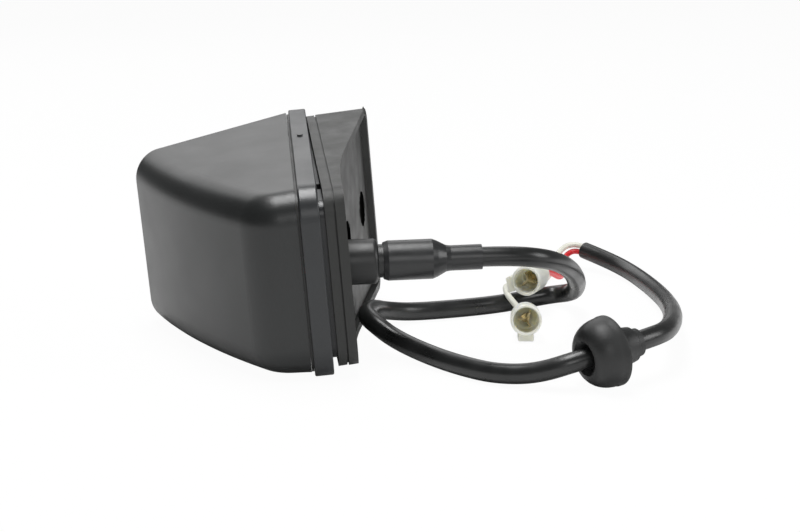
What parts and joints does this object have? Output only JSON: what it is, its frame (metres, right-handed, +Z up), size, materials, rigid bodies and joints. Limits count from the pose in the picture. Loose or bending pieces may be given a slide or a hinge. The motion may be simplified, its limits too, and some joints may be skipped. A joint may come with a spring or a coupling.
{
  "type": "vehicle marker lamp",
  "caption": "Black streamlined roof marker lamp with a wedge gasket, lying on its side, with its cable, grommet and bullet connectors.",
  "frame": {"origin": "middle of the two threaded fixing inserts, on the back plane of the base", "axes": "+Z up from the table that the lamp lies on, +Y towards the lens and along the base, +X towards the side that is fixed to the vehicle; the mounting axis rises 4.8 degrees from +X because the lamp rests on its base edge and its nose"},
  "size_m": [0.1758, 0.1614, 0.0674],
  "materials": {
    "hood_plastic": "satin, moulded",
    "base_plastic": "satin, moulded",
    "gasket_rubber": "matt",
    "lens_plastic": "polished, clear",
    "sealant": "matt",
    "cable_jacket": "satin",
    "white_insulation": "satin",
    "red_insulation": "satin",
    "nylon": "satin, translucent",
    "brass": "drawn",
    "steel": "plated",
    "reflector_film": "metallised",
    "bulb_glass": "clear",
    "holder_plastic": "satin"
  },
  "bodies": {
    "root": {"base_frame": "base_plastic", "mounting_inserts": "brass", "gasket": "gasket_rubber", "housing": "hood_plastic", "lens": "lens_plastic", "lens_bead": "sealant", "housing_seal": "gasket_rubber", "housing_screws": "steel", "bulb_holder": "holder_plastic", "bulb": "bulb_glass", "contact_live": "brass", "contact_earth": "brass", "reflector": "reflector_film", "inner_lead_red": "red_insulation", "inner_lead_white": "white_insulation", "cable_gland": "gasket_rubber", "heat_shrink_sleeve": "cable_jacket", "cable": "cable_jacket", "grommet": "gasket_rubber", "white_wire": "white_insulation", "red_wire": "red_insulation", "connector_shell_a": "nylon", "connector_shell_b": "nylon", "terminal_a": "brass", "terminal_b": "brass"}
  },
  "joints": []
}
